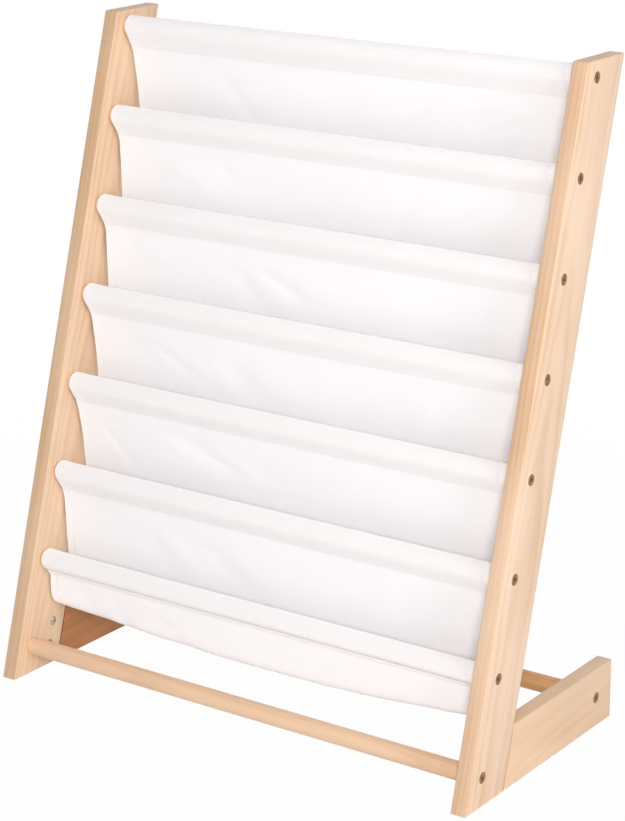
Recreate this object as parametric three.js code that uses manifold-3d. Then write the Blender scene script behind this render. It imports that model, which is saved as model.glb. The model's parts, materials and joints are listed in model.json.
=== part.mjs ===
// Sling bookshelf for a child's room: two raked uprights with a foot behind each,
// nine round rods between them, and a canvas sling that hangs in six pockets.
// Millimetres. X runs across the width, Y from front to back, Z up.
// The origin is on the floor, at the middle of the footprint.

import * as THREE from 'three';
import { mergeVertices } from 'three/addons/utils/BufferGeometryUtils.js';
import Module from 'manifold-3d';

const wasm = await Module();
wasm.setup();

// Overall size
const overallWidth = 620;
const overallDepth = 305;
const overallHeight = 740;
const rake = THREE.MathUtils.degToRad(15.8);

// Boards
const boardThickness = 18;
const uprightDepth = 75; // level, along the floor
const footHeight = 68;
const easedEdge = 1.2;

// Rods
const rodDiameter = 20;
const rodSetback = 22.8; // square to the upright, from its front edge to the rods' centres
const frontRodRise = 39.8; // along the upright, from the floor end to the bare front rod
const topRodDrop = 17.7; // from the uprights' top ends down to the top rod's centre
const slingRodCount = 7;
const rearRodInset = 33.6; // from the foot's rear end to the rear rod's centre
const rodHeightInFootShare = 0.5;

// Connector screws
const screwHeadDiameter = 12;
const screwHeadRim = 0.8;
const screwHeadCone = 3;
const screwHeadSink = 0.2;
const screwDiameter = 6;
const screwLength = 46;
const screwTip = 3;
const screwTipDiameter = 3.4;
const screwSocketWidth = 4.6; // across the corners of the hexagon
const screwSocketDepth = 2.4;

// Cam locks, cam dowels and wood pins that hold each foot to its upright
const jointCentreHeight = 32; // of the wood pin, where it crosses the joint
const camSpacing = 27;
const camInset = 18.5; // from the upright's rear edge to the cam's centre
const camDiameter = 12;
const camLength = 13;
const camCrossWidth = 1.4;
const camCrossLength = 7;
const camCrossDepth = 2;
const camDowelDiameter = 6;
const camDowelHeadDiameter = 5.2;
const camDowelNeckDiameter = 3.4;
const camDowelHeadLength = 3;
const camDowelThread = 12; // length in the foot
const camDowelTip = 1.4;
const woodPinDiameter = 8;
const woodPinLength = 30;
const woodPinChamfer = 1;

// Canvas sling
const canvasThickness = 0.9;
const canvasSideGap = 4; // from the canvas edge to each upright
const sleeveEase = 0.7; // between a rod and its sleeve
const seamDrop = 21; // from a rod's centre down to the sleeve's seam
const lastSeamDrop = 13; // the same at the lowest sling rod
const seamShift = 1.5; // the seam lies this far behind the rod's centre
const seamTab = 5; // height of the two sewn layers below the seam
const pocketDrop = 63.7; // from the lip rod's centre to the pocket's floor at the sides
const pocketFloorDepth = 30; // front to back of the rounded pocket floor
const panelLean = 6.4; // how far a back panel drifts backwards while it hangs
const panelLeanShare = 0.8; // shape of that drift, 1 for a plain quarter wave
const layerEase = 0.6; // extra room between two panels that hang from one seam
const sagDepth = 9; // the pocket floor sags this far at its lowest place
const sagCentre = -40; // across, where the sag is deepest
const swellDepth = 1.6; // slow swells in the hanging panels
const swellCount = 1.5; // across the width
const swellPhaseStep = 1.9; // from one pocket to the next, in radians

// Fits and cuts
const fitGap = 0.3; // between two pieces that touch
const cutOverrun = 2; // a cut runs this far past the face it opens
const mergeDistance = 0.001;

// Facets
const rodFacets = 24;
const screwFacets = 14;
const socketFacets = 6;
const camFacets = 20;
const dowelFacets = 10;
const pinFacets = 14;
const sleeveArcFacets = 14;
const panelSpansAcross = 12;
const panelBackSpans = 7;
const panelFloorSpans = 7;
const panelFrontSpans = 3;

// Sizes worked out from the ones above
const boardCentre = (overallWidth - boardThickness) / 2;
const innerFace = overallWidth / 2 - boardThickness;
const uprightWidth = uprightDepth * Math.cos(rake);
const uprightLean = overallHeight * Math.tan(rake);
const topRodRise = (overallHeight - topRodDrop + rodSetback * Math.sin(rake)) / Math.cos(rake);
const rodPitch = (topRodRise - frontRodRise) / slingRodCount; // along the upright
const rodLength = 2 * (innerFace - fitGap);
const canvasWidth = 2 * (innerFace - canvasSideGap);
const screwGrip = screwHeadSink + screwLength - boardThickness; // screw length inside a rod
const sleeveInner = rodDiameter / 2 + sleeveEase;
const sleeveOuter = sleeveInner + canvasThickness;
const layerPitch = canvasThickness + fitGap;
const sides = { left: -1, right: 1 };

// Finishes
const pineBoard = new THREE.MeshStandardMaterial({ color: 0xeccba6, roughness: 0.62, metalness: 0 });
const pineRod = new THREE.MeshStandardMaterial({ color: 0xeac39a, roughness: 0.6, metalness: 0 });
const beechPin = new THREE.MeshStandardMaterial({ color: 0xd9b98c, roughness: 0.7, metalness: 0 });
const canvas = new THREE.MeshStandardMaterial({ color: 0xf8f5f1, roughness: 0.92, metalness: 0 });
const darkSteel = new THREE.MeshStandardMaterial({ color: 0x6f6459, roughness: 0.38, metalness: 1 });
const zinc = new THREE.MeshStandardMaterial({ color: 0xb4b3ae, roughness: 0.42, metalness: 1 });

// A place on an upright: along it from the floor end, and square to its front edge.
function onUpright(along, setback) {
  return {
    y: along * Math.sin(rake) + setback * Math.cos(rake),
    z: along * Math.cos(rake) - setback * Math.sin(rake),
  };
}

// Turns a profile drawn in Y and Z and extruded along Z into one that runs along X.
function profileToWidth(geometry) {
  const turn = new THREE.Matrix4().makeBasis(
    new THREE.Vector3(0, 1, 0),
    new THREE.Vector3(0, 0, 1),
    new THREE.Vector3(1, 0, 0),
  );
  return geometry.applyMatrix4(turn);
}

function placed(geometry, x, y, z, turnX = 0) {
  return geometry.rotateX(turnX).translate(x, y, z);
}

// Joins and cuts
function solidOf(geometry) {
  const bare = geometry.clone();
  bare.deleteAttribute('normal');
  bare.deleteAttribute('uv');
  const merged = mergeVertices(bare, mergeDistance);
  return new wasm.Manifold(new wasm.Mesh({
    numProp: 3,
    vertProperties: Float32Array.from(merged.attributes.position.array),
    triVerts: Uint32Array.from(merged.index.array),
  }));
}

function geometryOf(solid) {
  const mesh = solid.getMesh();
  const geometry = new THREE.BufferGeometry();
  geometry.setAttribute('position', new THREE.BufferAttribute(Float32Array.from(mesh.vertProperties), 3));
  geometry.setIndex(new THREE.BufferAttribute(Uint32Array.from(mesh.triVerts), 1));
  geometry.computeVertexNormals();
  return geometry;
}

function cutFrom(geometry, cutters) {
  let solid = solidOf(geometry);
  for (const cutter of cutters) {
    solid = solid.subtract(solidOf(cutter));
  }
  return geometryOf(solid);
}

// A round bar along X, from one x to another.
function barAlongX(radius, from, to, facets) {
  const bar = new THREE.CylinderGeometry(radius, radius, to - from, facets);
  return bar.rotateZ(-Math.PI / 2).translate((from + to) / 2, 0, 0);
}

// A round bar along Y, from one y to another.
function barAlongY(radius, from, to, facets) {
  const bar = new THREE.CylinderGeometry(radius, radius, to - from, facets);
  return bar.translate(0, (from + to) / 2, 0);
}

// Connector screw: its profile grown by a clearance, with the head's face at x = 0.
// The bore for it is the same profile, grown and run out past the board's face.
function screwProfile(grow, runOut) {
  const head = screwHeadDiameter / 2 + grow;
  const shank = screwDiameter / 2 + grow;
  const coneEnd = screwHeadRim + screwHeadCone;
  return [
    new THREE.Vector2(0, -runOut),
    new THREE.Vector2(head, -runOut),
    new THREE.Vector2(head, screwHeadRim),
    new THREE.Vector2(shank, coneEnd),
    new THREE.Vector2(shank, screwLength - screwTip),
    new THREE.Vector2(screwTipDiameter / 2 + grow, screwLength + grow),
    new THREE.Vector2(0, screwLength + grow),
  ];
}

function screwBore() {
  return new THREE.LatheGeometry(screwProfile(fitGap, cutOverrun), screwFacets).rotateZ(-Math.PI / 2);
}

function screwBody() {
  const body = new THREE.LatheGeometry(screwProfile(0, 0), screwFacets).rotateZ(-Math.PI / 2);
  const socket = barAlongX(screwSocketWidth / 2, -cutOverrun, screwSocketDepth, socketFacets);
  return cutFrom(body, [socket]);
}

// The same shape seen from the other side, for bores and screws on the right.
function facing(side, geometry) {
  return side === sides.right ? geometry.rotateZ(Math.PI) : geometry;
}

// A board cut from its side outline, with all its edges eased.
function board(outline) {
  const shape = new THREE.Shape(outline.map(([y, z]) => new THREE.Vector2(y, z)));
  const geometry = new THREE.ExtrudeGeometry(shape, {
    depth: boardThickness - 2 * easedEdge,
    bevelEnabled: true,
    bevelThickness: easedEdge,
    bevelSize: easedEdge,
    bevelOffset: -easedEdge,
    bevelSegments: 1,
  });
  geometry.translate(0, 0, easedEdge - boardThickness / 2);
  return profileToWidth(geometry);
}

// Where the rods run, top sling rod first
function rodPlace(step) {
  return onUpright(frontRodRise + rodPitch * step, rodSetback);
}

const slingRods = [];
for (let step = slingRodCount; step >= 1; step -= 1) {
  slingRods.push(rodPlace(step));
}
const frontRod = rodPlace(0);
const rearRod = {
  y: overallDepth - rearRodInset,
  z: footHeight * rodHeightInFootShare,
};

// Where the foot joint's hardware lies: y runs square to the joint, into the foot
const jointAlong = (jointCentreHeight + uprightWidth * Math.sin(rake)) / Math.cos(rake);
const jointPlace = onUpright(jointAlong, uprightWidth);
const camRises = { upper: camSpacing / 2, lower: -camSpacing / 2 };

function inJoint(geometry, y, rise) {
  return placed(geometry.translate(0, y, rise), 0, jointPlace.y, jointPlace.z, -rake);
}

function camDowelBore() {
  const radius = camDowelDiameter / 2 + fitGap;
  return barAlongY(radius, -camInset, camDowelThread + fitGap, dowelFacets);
}

function woodPinBore() {
  const reach = woodPinLength / 2 + fitGap;
  return barAlongY(woodPinDiameter / 2 + fitGap, -reach, reach, pinFacets);
}

function jointBores() {
  const bores = [inJoint(woodPinBore(), 0, 0)];
  for (const rise of Object.values(camRises)) {
    bores.push(inJoint(camDowelBore(), 0, rise));
  }
  return bores;
}

function upright(side) {
  const outline = [
    [0, 0],
    [uprightDepth, 0],
    [uprightDepth + uprightLean, overallHeight],
    [uprightLean, overallHeight],
  ];
  const cutters = jointBores();
  const outerFace = (side * boardThickness) / 2;
  for (const rod of [...slingRods, frontRod]) {
    const bore = facing(side, screwBore().translate(screwHeadSink, 0, 0));
    cutters.push(placed(bore, outerFace, rod.y, rod.z));
  }
  for (const rise of Object.values(camRises)) {
    const bore = facing(side, barAlongX(
      camDiameter / 2 + fitGap,
      boardThickness / 2 - camLength - fitGap,
      boardThickness / 2 + cutOverrun,
      camFacets,
    ));
    cutters.push(inJoint(bore, -camInset, rise));
  }
  return cutFrom(board(outline), cutters);
}

function foot(side) {
  const front = uprightDepth + fitGap / Math.cos(rake);
  const outline = [
    [front, 0],
    [overallDepth, 0],
    [overallDepth, footHeight],
    [front + footHeight * Math.tan(rake), footHeight],
  ];
  const bore = facing(side, screwBore().translate(screwHeadSink, 0, 0));
  const outerFace = (side * boardThickness) / 2;
  return cutFrom(board(outline), [...jointBores(), placed(bore, outerFace, rearRod.y, rearRod.z)]);
}

// A rod with a pilot hole in each end for its screws.
function rod() {
  const half = rodLength / 2;
  const hole = screwDiameter / 2 + fitGap;
  const bottom = innerFace - screwGrip - fitGap;
  return cutFrom(barAlongX(rodDiameter / 2, -half, half, rodFacets), [
    barAlongX(hole, -half - cutOverrun, -bottom, screwFacets),
    barAlongX(hole, bottom, half + cutOverrun, screwFacets),
  ]);
}

// Cam lock: a disc with a cross for the driver and a channel that takes the dowel's head.
function cam(side) {
  const inner = boardThickness / 2;
  const body = barAlongX(camDiameter / 2, inner - camLength, inner, camFacets);
  const crossAt = inner - camCrossDepth / 2 + cutOverrun / 2;
  const crossReach = camCrossDepth + cutOverrun;
  const upBar = new THREE.BoxGeometry(crossReach, camCrossWidth, camCrossLength).translate(crossAt, 0, 0);
  const acrossBar = new THREE.BoxGeometry(crossReach, camCrossLength, camCrossWidth).translate(crossAt, 0, 0);
  const channel = barAlongY(
    camDowelHeadDiameter / 2 + fitGap,
    -camDowelHeadLength / 2 - fitGap,
    camDiameter / 2 + cutOverrun,
    dowelFacets,
  );
  return facingCam(side, cutFrom(body, [upBar, acrossBar, channel]));
}

// The cam's driver face looks inwards, and its channel always opens towards the foot.
function facingCam(side, geometry) {
  return side === sides.right ? geometry.rotateY(Math.PI) : geometry;
}

// Cam dowel: head and neck in the cam, shank across the joint, tip in the foot.
function camDowel() {
  const headStart = -camInset - camDowelHeadLength / 2;
  const neckStart = headStart + camDowelHeadLength;
  const shankStart = -camInset + camDiameter / 2 + 2 * fitGap;
  const shank = camDowelDiameter / 2;
  const profile = [
    [0, headStart],
    [camDowelHeadDiameter / 2, headStart],
    [camDowelHeadDiameter / 2, neckStart],
    [camDowelNeckDiameter / 2, neckStart],
    [camDowelNeckDiameter / 2, shankStart],
    [shank, shankStart],
    [shank, camDowelThread - camDowelTip],
    [shank - camDowelTip, camDowelThread],
    [0, camDowelThread],
  ];
  return new THREE.LatheGeometry(profile.map(([r, y]) => new THREE.Vector2(r, y)), dowelFacets);
}

function woodPin() {
  const half = woodPinLength / 2;
  const radius = woodPinDiameter / 2;
  const profile = [
    [0, -half],
    [radius - woodPinChamfer, -half],
    [radius, woodPinChamfer - half],
    [radius, half - woodPinChamfer],
    [radius - woodPinChamfer, half],
    [0, half],
  ];
  return new THREE.LatheGeometry(profile.map(([r, y]) => new THREE.Vector2(r, y)), pinFacets);
}

// Sleeve of canvas round a rod. Its section is a drop: an arc over the rod, and two
// straight runs that meet at the seam, with the sewn layers standing down from it.
function tangentAngle(point, radius, turn) {
  const reach = Math.hypot(point.x, point.y);
  return Math.atan2(point.y, point.x) + turn * Math.acos(radius / reach);
}

function dropPoints(radius, frontNeck, backNeck) {
  const from = tangentAngle(backNeck, radius, 1);
  const to = tangentAngle(frontNeck, radius, -1) + 2 * Math.PI;
  const points = [];
  for (let i = 0; i <= sleeveArcFacets; i += 1) {
    const angle = from + ((to - from) * i) / sleeveArcFacets;
    points.push(new THREE.Vector2(radius * Math.cos(angle), radius * Math.sin(angle)));
  }
  return points;
}

function sleeve(drop) {
  const frontNeck = new THREE.Vector2(seamShift - canvasThickness, -drop);
  const backNeck = new THREE.Vector2(seamShift + canvasThickness, -drop);
  const shape = new THREE.Shape([
    new THREE.Vector2(frontNeck.x, -drop - seamTab),
    new THREE.Vector2(backNeck.x, -drop - seamTab),
    backNeck,
    ...dropPoints(sleeveOuter, frontNeck, backNeck),
    frontNeck,
  ]);
  const innerNeck = new THREE.Vector2(seamShift, canvasThickness - drop);
  shape.holes.push(new THREE.Path([innerNeck, ...dropPoints(sleeveInner, innerNeck, innerNeck)]));
  const geometry = new THREE.ExtrudeGeometry(shape, { depth: canvasWidth, bevelEnabled: false });
  return profileToWidth(geometry.translate(0, 0, -canvasWidth / 2));
}

// Hanging pockets. Places are taken from the middle line of the canvas.
// The sag lowers a pocket's floor, most at sagCentre and not at all at the sides.
function sagAt(x) {
  const reach = canvasWidth / 2;
  const share = x < sagCentre ? (sagCentre - x) / (reach + sagCentre) : (x - sagCentre) / (reach - sagCentre);
  return sagDepth * (1 - share * share);
}

const floorStart = pocketDrop - pocketFloorDepth / 2; // where the floor's curve begins, below the lip rod
const panelFall = rodPitch * Math.cos(rake) + floorStart - seamDrop - seamTab;

// How far behind its rod a panel hangs, at a depth below the sewn tab.
function drapeAt(x, depth, pocket) {
  const share = Math.min(1, Math.max(0, depth / (panelFall + sagAt(x))));
  const lean = panelLean * Math.sin((Math.PI / 2) * share ** panelLeanShare);
  const wave = Math.sin((2 * Math.PI * swellCount * x) / canvasWidth + swellPhaseStep * pocket);
  return seamShift + canvasThickness + layerPitch - canvasThickness / 2
    + lean + swellDepth * wave * Math.sin(Math.PI * share);
}

// The middle line of one pocket at x: down from the seam of the rod behind, round the
// floor and up to the seam of its lip rod.
function pocketLine(x, pocket) {
  const upper = slingRods[pocket - 1];
  const lip = slingRods[pocket];
  const isLast = pocket === slingRodCount - 1;
  const lipSeam = isLast ? lastSeamDrop : seamDrop;
  const frontShift = isLast ? 0 : layerPitch;
  const frontEase = isLast ? 0 : layerEase;
  const floorZ = lip.z - floorStart - sagAt(x);
  const backTab = upper.z - seamDrop - seamTab;
  const frontTab = lip.z - lipSeam - seamTab;
  const line = [{ y: upper.y + drapeAt(x, 0, pocket), z: backTab + seamTab - fitGap }];

  for (let i = 0; i <= panelBackSpans; i += 1) {
    const depth = ((backTab - floorZ) * i) / panelBackSpans;
    line.push({ y: upper.y + drapeAt(x, depth, pocket), z: backTab - depth });
  }
  const back = line[line.length - 1];
  const frontDepth = frontTab - floorZ;
  const frontY = lip.y + drapeAt(x, frontDepth, pocket + 1) + frontShift + frontEase;
  const radius = (back.y - frontY) / 2;
  for (let i = 1; i < panelFloorSpans; i += 1) {
    const angle = (Math.PI * i) / panelFloorSpans;
    line.push({
      y: frontY + radius * (1 + Math.cos(angle)),
      z: floorZ - radius * Math.sin(angle),
    });
  }
  for (let i = panelFrontSpans; i >= 0; i -= 1) {
    const share = i / panelFrontSpans;
    const y = lip.y + drapeAt(x, frontDepth * share, pocket + 1) + frontShift + frontEase * share;
    line.push({ y, z: frontTab - frontDepth * share });
  }
  const top = line[line.length - 1];
  line.push({ y: top.y, z: frontTab + seamTab - fitGap });
  return line;
}

// A sheet of canvas thickness round a middle line that changes across the width.
function sheetSolid(lineAt) {
  const positions = [];
  let count = 0;
  for (let i = 0; i <= panelSpansAcross; i += 1) {
    const x = canvasWidth * (i / panelSpansAcross - 1 / 2);
    const line = lineAt(x);
    count = line.length;
    line.forEach((point, j) => {
      const before = line[Math.max(0, j - 1)];
      const after = line[Math.min(count - 1, j + 1)];
      const along = new THREE.Vector2(after.y - before.y, after.z - before.z).normalize();
      const reach = canvasThickness / 2;
      positions.push(x, point.y + along.y * reach, point.z - along.x * reach);
      positions.push(x, point.y - along.y * reach, point.z + along.x * reach);
    });
  }
  const at = (i, j, face) => (i * count + j) * 2 + face;
  const index = [];
  const quad = (a, b, c, d) => index.push(a, b, c, a, c, d);
  for (let i = 0; i < panelSpansAcross; i += 1) {
    for (let j = 0; j < count - 1; j += 1) {
      quad(at(i, j, 1), at(i + 1, j, 1), at(i + 1, j + 1, 1), at(i, j + 1, 1));
      quad(at(i, j + 1, 0), at(i + 1, j + 1, 0), at(i + 1, j, 0), at(i, j, 0));
    }
    quad(at(i, 0, 0), at(i + 1, 0, 0), at(i + 1, 0, 1), at(i, 0, 1));
    quad(at(i, count - 1, 1), at(i + 1, count - 1, 1), at(i + 1, count - 1, 0), at(i, count - 1, 0));
  }
  const end = panelSpansAcross;
  for (let j = 0; j < count - 1; j += 1) {
    quad(at(0, j, 0), at(0, j, 1), at(0, j + 1, 1), at(0, j + 1, 0));
    quad(at(end, j, 0), at(end, j + 1, 0), at(end, j + 1, 1), at(end, j, 1));
  }
  const geometry = new THREE.BufferGeometry();
  geometry.setAttribute('position', new THREE.Float32BufferAttribute(positions, 3));
  geometry.setIndex(index);
  geometry.computeVertexNormals();
  return geometry;
}

// Assembly. Inside the group, y = 0 is the uprights' front edge on the floor.
const bookshelf = new THREE.Group();
bookshelf.name = 'sling_bookshelf';
bookshelf.position.y = -overallDepth / 2;

function add(name, geometry, material, x, y, z) {
  const mesh = new THREE.Mesh(geometry, material);
  mesh.name = name;
  mesh.position.set(x, y, z);
  bookshelf.add(mesh);
  return mesh;
}

for (const [name, side] of Object.entries(sides)) {
  add(`upright_${name}`, upright(side), pineBoard, side * boardCentre, 0, 0);
  add(`foot_${name}`, foot(side), pineBoard, side * boardCentre, 0, 0);

  const screwX = side * (overallWidth / 2 - screwHeadSink);
  slingRods.forEach((place, i) => {
    add(`screw_${name}_${i + 1}`, facing(side, screwBody()), darkSteel, screwX, place.y, place.z);
  });
  add(`screw_${name}_front`, facing(side, screwBody()), darkSteel, screwX, frontRod.y, frontRod.z);
  add(`screw_${name}_rear`, facing(side, screwBody()), darkSteel, screwX, rearRod.y, rearRod.z);

  for (const [level, rise] of Object.entries(camRises)) {
    const camGeometry = inJoint(cam(side), -camInset, rise);
    add(`cam_${name}_${level}`, camGeometry, zinc, side * boardCentre, 0, 0);
    add(`cam_dowel_${name}_${level}`, inJoint(camDowel(), 0, rise), zinc, side * boardCentre, 0, 0);
  }
  add(`wood_pin_${name}`, inJoint(woodPin(), 0, 0), beechPin, side * boardCentre, 0, 0);
}

slingRods.forEach((place, i) => {
  const drop = i === slingRodCount - 1 ? lastSeamDrop : seamDrop;
  add(`sling_rod_${i + 1}`, rod(), pineRod, 0, place.y, place.z);
  add(`sleeve_${i + 1}`, sleeve(drop), canvas, 0, place.y, place.z);
});
add('front_rod', rod(), pineRod, 0, frontRod.y, frontRod.z);
add('rear_rod', rod(), pineRod, 0, rearRod.y, rearRod.z);

for (let pocket = 1; pocket < slingRodCount; pocket += 1) {
  add(`pocket_${pocket}`, sheetSolid((x) => pocketLine(x, pocket)), canvas, 0, 0, 0);
}

export default bookshelf;
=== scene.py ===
"""Looks of the sling bookshelf: pine boards and rods, dark connector screws, cam locks,
and one long sewn canvas that hangs in six pockets. Metres, +Z up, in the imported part's frame."""

import json
import math
import random

import bmesh
import bpy
import numpy as np
from mathutils import Matrix, Vector, noise

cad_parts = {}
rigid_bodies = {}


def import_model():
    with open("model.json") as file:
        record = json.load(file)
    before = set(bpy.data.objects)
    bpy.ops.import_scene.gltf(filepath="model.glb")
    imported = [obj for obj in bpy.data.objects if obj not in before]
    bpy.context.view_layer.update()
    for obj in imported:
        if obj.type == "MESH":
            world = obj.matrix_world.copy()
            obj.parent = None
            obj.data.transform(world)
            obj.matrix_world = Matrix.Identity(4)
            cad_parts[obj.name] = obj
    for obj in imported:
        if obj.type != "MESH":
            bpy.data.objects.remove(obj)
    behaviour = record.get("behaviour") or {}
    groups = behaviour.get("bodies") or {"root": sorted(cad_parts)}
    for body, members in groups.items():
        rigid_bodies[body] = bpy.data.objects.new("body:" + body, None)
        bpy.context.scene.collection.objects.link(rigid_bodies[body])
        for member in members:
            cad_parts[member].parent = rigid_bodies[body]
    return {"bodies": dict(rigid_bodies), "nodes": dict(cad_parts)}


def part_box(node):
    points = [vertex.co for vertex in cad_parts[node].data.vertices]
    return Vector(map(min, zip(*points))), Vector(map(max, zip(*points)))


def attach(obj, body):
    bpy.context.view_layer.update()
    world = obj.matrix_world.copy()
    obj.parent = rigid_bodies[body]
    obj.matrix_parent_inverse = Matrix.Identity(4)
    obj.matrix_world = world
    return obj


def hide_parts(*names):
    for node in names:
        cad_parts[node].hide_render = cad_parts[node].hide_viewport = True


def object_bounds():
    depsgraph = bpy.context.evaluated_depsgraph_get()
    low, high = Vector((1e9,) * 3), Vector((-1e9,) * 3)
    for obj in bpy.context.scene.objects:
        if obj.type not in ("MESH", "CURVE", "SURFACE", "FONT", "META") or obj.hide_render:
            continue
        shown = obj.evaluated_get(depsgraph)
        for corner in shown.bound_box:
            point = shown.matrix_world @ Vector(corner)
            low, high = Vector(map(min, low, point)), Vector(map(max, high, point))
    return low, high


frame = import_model()
cad_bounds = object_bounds()

# Boards
rake = math.radians(15.8)
board_thickness = 0.018
upright_depth = 0.075
foot_height = 0.068
eased_edge = 0.0012
eased_segments = 3
fit_gap = 0.0003
joint_gap = 0.0016
joint_rim = 0.003
joint_step = 0.0001

# Pine
upright_pith_x = 0.252
upright_pith_share = 0.62
foot_pith_x = 0.240
foot_pith_share = 0.45
ring_warps = (0.030, 0.004)
warp_looks = (((9, 9, 2.2), 2.0), ((30, 30, 5), 1.0))
ring_spread = (0.37, 1.6)
late_wood = [(0.0, 0.30), (0.16, 0.0), (0.5, 0.10), (0.82, 0.62), (0.93, 0.75), (1.0, 0.30)]
edge_rings = -0.35
mottle_look = ((22, 22, 6), 2.0)
mottle_tone = (0.8, -0.18)
streak_look = ((170, 170, 5), 2.0, 0.6)
streak_tone = 0.22
fibre_look = ((900, 900, 14), 3.0, 0.65)
fibre_tone = 0.16
canal_look = ((620, 620, 26), 1.0)
canal_stops = [(0.69, 0.0), (0.76, 1.0)]
canal_tone = 0.28
# Brown heartwood on the left foot's inner face: painted shade, standing for the sling's shadow on that
# face
heart_shade_depths = (0.0145, 0.0055)
heart_shade_wander = 0.006
grain_relief = 0.00012
# The right upright is painted lighter than the left: painted light for the stronger light on its outer
# face, against the left one's inner face that the sling shades
upright_lit_and_shaded_colours = {"left": ("FADCBD", "D6A87D"), "right": ("FFE2C7", "DBAF87")}
foot_colours = ("F3D4B5", "D4A57C")
# the brown of the painted shade on the left foot's inner face
heart_shade_colours = ("CA8A55", "925326")
canal_colour = "B98455"
rod_colours = ("FDD8B6", "DDAA80")
# Painted shade: the rear rod is darker and more orange than the other rods, for the shade it lies in
# behind the sling
rear_rod_shaded_colours = ("F1BD89", "CF9156")
pin_colours = ("DDBE94", "C79F6E")

# Rods and screws
rod_radius = 0.010
rod_end_chamfer = 0.0006
screw_head_radius = 0.006
screw_head_rim = 0.0008
screw_head_cone = 0.003
screw_head_edge = 0.0006
screw_head_dish = 0.00012
screw_dish_share = 0.62
screw_sink = 0.0002
screw_radius = 0.003
screw_length = 0.046
screw_tip = 0.003
screw_tip_radius = 0.0017
socket_radius = 0.0023
socket_depth = 0.0013
metal_relief = 0.00003

# Cam locks
joint_rise = 0.032
cam_spacing = 0.027
cam_inset = 0.0185
cam_radius = 0.005
cam_length = 0.013
cam_cross_width = 0.0011
cam_cross_length = 0.0044
cam_cross_depth = 0.002
cam_mouth_depth = 0.0035
cam_channel_radius = 0.0029
cam_channel_start = 0.0018
cam_edge = 0.0011
cam_dome = [(1, 1), (0.45, 0.9), (0.1, 0.72), (0, 0.5)]
cam_mouth_places = (0.45, 0.9)
cam_mouth_share = 0.38
wood_pin_radius = 0.004
wood_pin_reach = 0.015
cam_dowel_radius = 0.003
cam_dowel_reach = 0.012

# Canvas
cloth_thickness = 0.0009
cloth_half_width = 0.288
edge_columns = [0, 0.0002, 0.0006, 0.0014, 0.003, 0.0052, 0.0076, 0.0100, 0.0108, 0.0114, 0.0122, 0.0140]
edge_round_shares = [0.2, 0.62, 0.93, 1.0]
column_pitch = 0.003
side_hem = 0.011
side_hem_fade = (0.0004, 0.0006)
end_hem = 0.009
end_hem_fade = 0.0006
end_round_places = [0, 0.0004, 0.0012]
end_round_shares = [0.3, 0.85, 1.0]
sleeve_radius = 0.01115
sleeve_hem_share = 0.35
seam_drops = [0.0235, 0.021, 0.0215, 0.022, 0.021, 0.021, 0.013]
seam_shift = 0.0015
seam_layers = 0.0011
tab_length = 0.010
tab_layers = 2.2
tab_bend_shares = (0.62, 0.45)
last_flap = 0.0042
last_flap_tuck = 0.0001
canvas_colours = ("FBF9FA", "F9F6F7")
# Painted shade in the gaps between the yarns
weave_gap_painted_shade = (0.16, "E6E2E0")
# Painted shade: the cloth round the rods is a little darker and warmer, to hold down the light that the
# sleeves' tops catch
sleeve_painted_shade = (0.16, "E8DFDD")
slub_shade = (0.10, "DCD3C6")
slub_scales = ((1300, 24, 1), (24, 1300, 1))
slub_stops = [(0.62, 0.0), (0.8, 1.0)]
yarn_width = 0.00075
yarn_wander = 0.0016
weave_relief = 0.00010
crumple_relief = 0.0011
thread_relief = 0.00004

# Pockets
panel_start = 0.0031
panel_start_drop = 0.0085
left_leans = [0.0078, 0.0005, 0.0003, 0.0068, 0.0103, 0.0043]
right_leans = [0.0060, 0.0110, 0.0080, 0.0060, 0.0090, 0.0070]
last_lean_share = 0.25
waist = 0.003
drift_power = 0.9
back_hem_share = 0.15
front_hem_share = 1.2
layer_pitch = 0.0018
pocket_drop = 0.0637
pocket_floor_depth = 0.034
pocket_floor_lift = 0.0005
pocket_floor_stretch = 1.04
last_pocket_lift = 0.003
middle_sag = 0.0087
floor_shifts = [0.0, 0.03, -0.02, 0.04, -0.03, 0.0]
left_floor_start = 0.115
left_floor_slope = 0.052
left_floor_knee = 0.025
right_floor_start = 0.118
right_floor_slope = 0.088
right_floor_knee = 0.02
lower_spread = 0.0045
spread_heights = (0.24, 0.42)

# Folds, waves and puckers
fold_count = 14
fold_starts = (0.10, 0.285)
fold_depths = (0.0, 0.02)
fold_lengths = (0.05, 0.15)
fold_degrees = (18, 60)
fold_widths = (0.006, 0.015)
fold_heights = (-0.0019, 0.0024)
fold_lead = 0.01
fold_grown_share = 0.35
fold_fade_share = 0.5
fold_seed = 400
swell_height = 0.0017
slow_height = 0.0016
slow_spans = (0.11, 0.06)
quick_height = 0.0005
quick_spans = (0.035, 0.028)
pucker_height = 0.00017
pucker_pitch = 0.0115
pucker_wander = 0.05
pucker_patch = 0.03
pucker_start = 0.0025
pucker_reach = 0.007

# Stitches
stitch_pitch = 0.0033
stitch_gap = 0.0006
thread_radius = 0.00016
thread_corners = 6
stitch_places = np.array([0.0, 0.18, 0.5, 0.82, 1.0])
stitch_lifts = np.array([-0.35, 0.55, 0.8, 0.55, -0.35])
stitch_taper = np.array([0.7, 1.0, 1.0, 1.0, 0.7])
seam_end_columns = 6
hem_stitch_column = 7

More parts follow.
